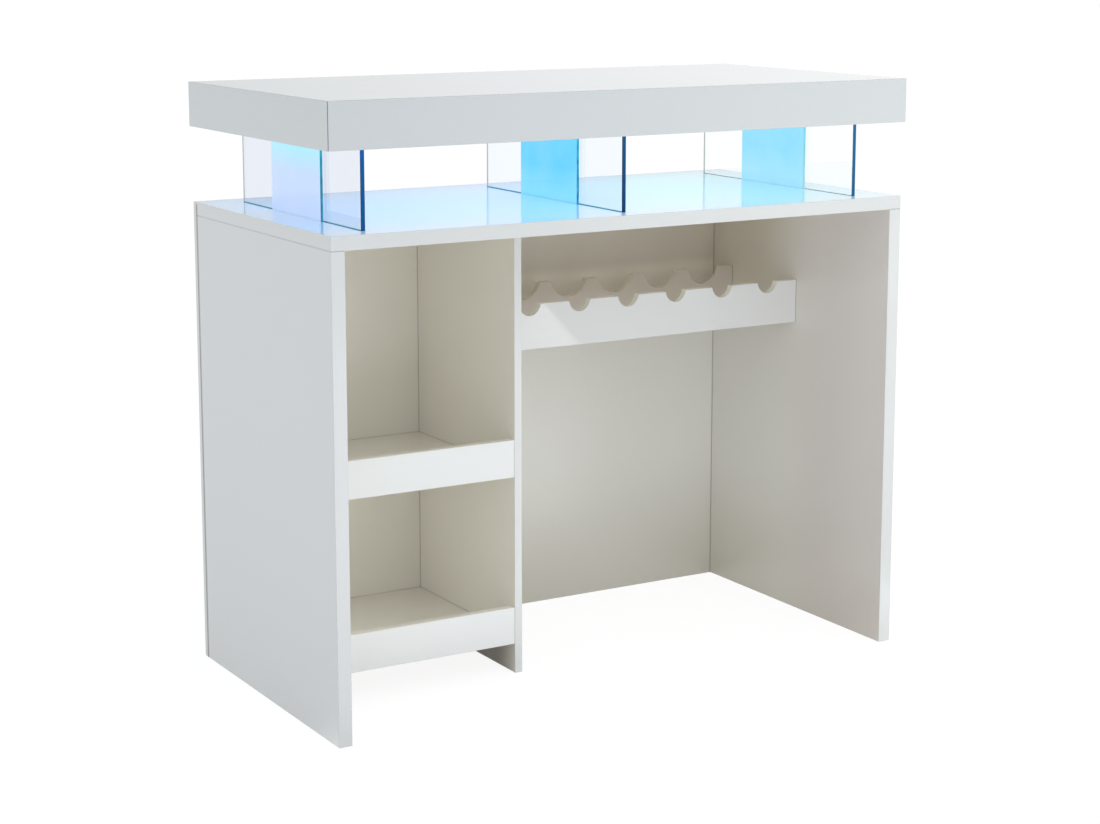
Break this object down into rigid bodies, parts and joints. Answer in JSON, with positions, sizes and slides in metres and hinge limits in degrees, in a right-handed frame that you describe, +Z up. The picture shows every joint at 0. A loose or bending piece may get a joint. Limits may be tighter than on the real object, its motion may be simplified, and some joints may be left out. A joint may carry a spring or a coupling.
{
  "type": "bar cabinet",
  "caption": "Free-standing white bar cabinet with a lit glass gallery under its thick top slab, open shelves with lips and a notched bottle rack.",
  "frame": {"origin": "on the floor, under the middle of the top slab", "axes": "+X along the bar, to the right for the person who serves; +Y from the open working side to the guests' side; +Z up"},
  "size_m": [1.2, 0.6, 1.1],
  "materials": {
    "lacquered_board": "high-gloss white lacquer on fibreboard",
    "slab_lacquer": "high-gloss white lacquer on fibreboard",
    "edge_band": "glossy white edge band",
    "raw_board": "bare particle board",
    "clear_glass": "clear float glass with polished blue-green edges",
    "light_plate": "frosted acrylic, lit through its edge",
    "clear_strip": "clear soft seating strip",
    "led_tape": "white flexible circuit with small lamps",
    "aluminium_bar": "mill finish",
    "controller_case": "fine-textured white plastic",
    "lead_jacket": "flat white cable",
    "inlet_plastic": "black moulded plastic",
    "zinc": "die-cast zinc",
    "plated_steel": "zinc-plated steel",
    "white_plastic": "white moulded plastic",
    "beech": "bare beech, fluted"
  },
  "bodies": {
    "root": {"left_side_panel": "lacquered_board", "right_side_panel": "lacquered_board", "counter_board": "lacquered_board", "facade_panel": "lacquered_board", "divider_panel": "lacquered_board", "upper_shelf": "lacquered_board", "lower_shelf": "lacquered_board", "upper_shelf_lip": "lacquered_board", "lower_shelf_lip": "lacquered_board", "rack_neck_board": "lacquered_board", "rack_body_board": "lacquered_board", "front_edge_bands": "edge_band", "slab_top_panel": "slab_lacquer", "slab_front_fascia": "slab_lacquer", "slab_rear_fascia": "slab_lacquer", "slab_left_fascia": "slab_lacquer", "slab_right_fascia": "slab_lacquer", "slab_bottom_panel": "slab_lacquer", "led_controller": "controller_case", "led_leads": "lead_jacket", "power_inlet": "inlet_plastic", "cam_locks": "zinc", "cam_bolts": "plated_steel", "cam_caps": "white_plastic", "dowels": "beech", "lower_seat_strips": "clear_strip", "upper_seat_strips": "clear_strip", "glass_pane_left": "clear_glass", "light_plate_left": "light_plate", "led_strip_left": "led_tape", "led_bar_left": "aluminium_bar", "slab_rib_left_1": "raw_board", "slab_rib_left_2": "raw_board", "glass_pane_middle": "clear_glass", "light_plate_middle": "light_plate", "led_strip_middle": "led_tape", "led_bar_middle": "aluminium_bar", "slab_rib_middle_1": "raw_board", "slab_rib_middle_2": "raw_board", "glass_pane_right": "clear_glass", "light_plate_right": "light_plate", "led_strip_right": "led_tape", "led_bar_right": "aluminium_bar", "slab_rib_right_1": "raw_board", "slab_rib_right_2": "raw_board"}
  },
  "joints": []
}
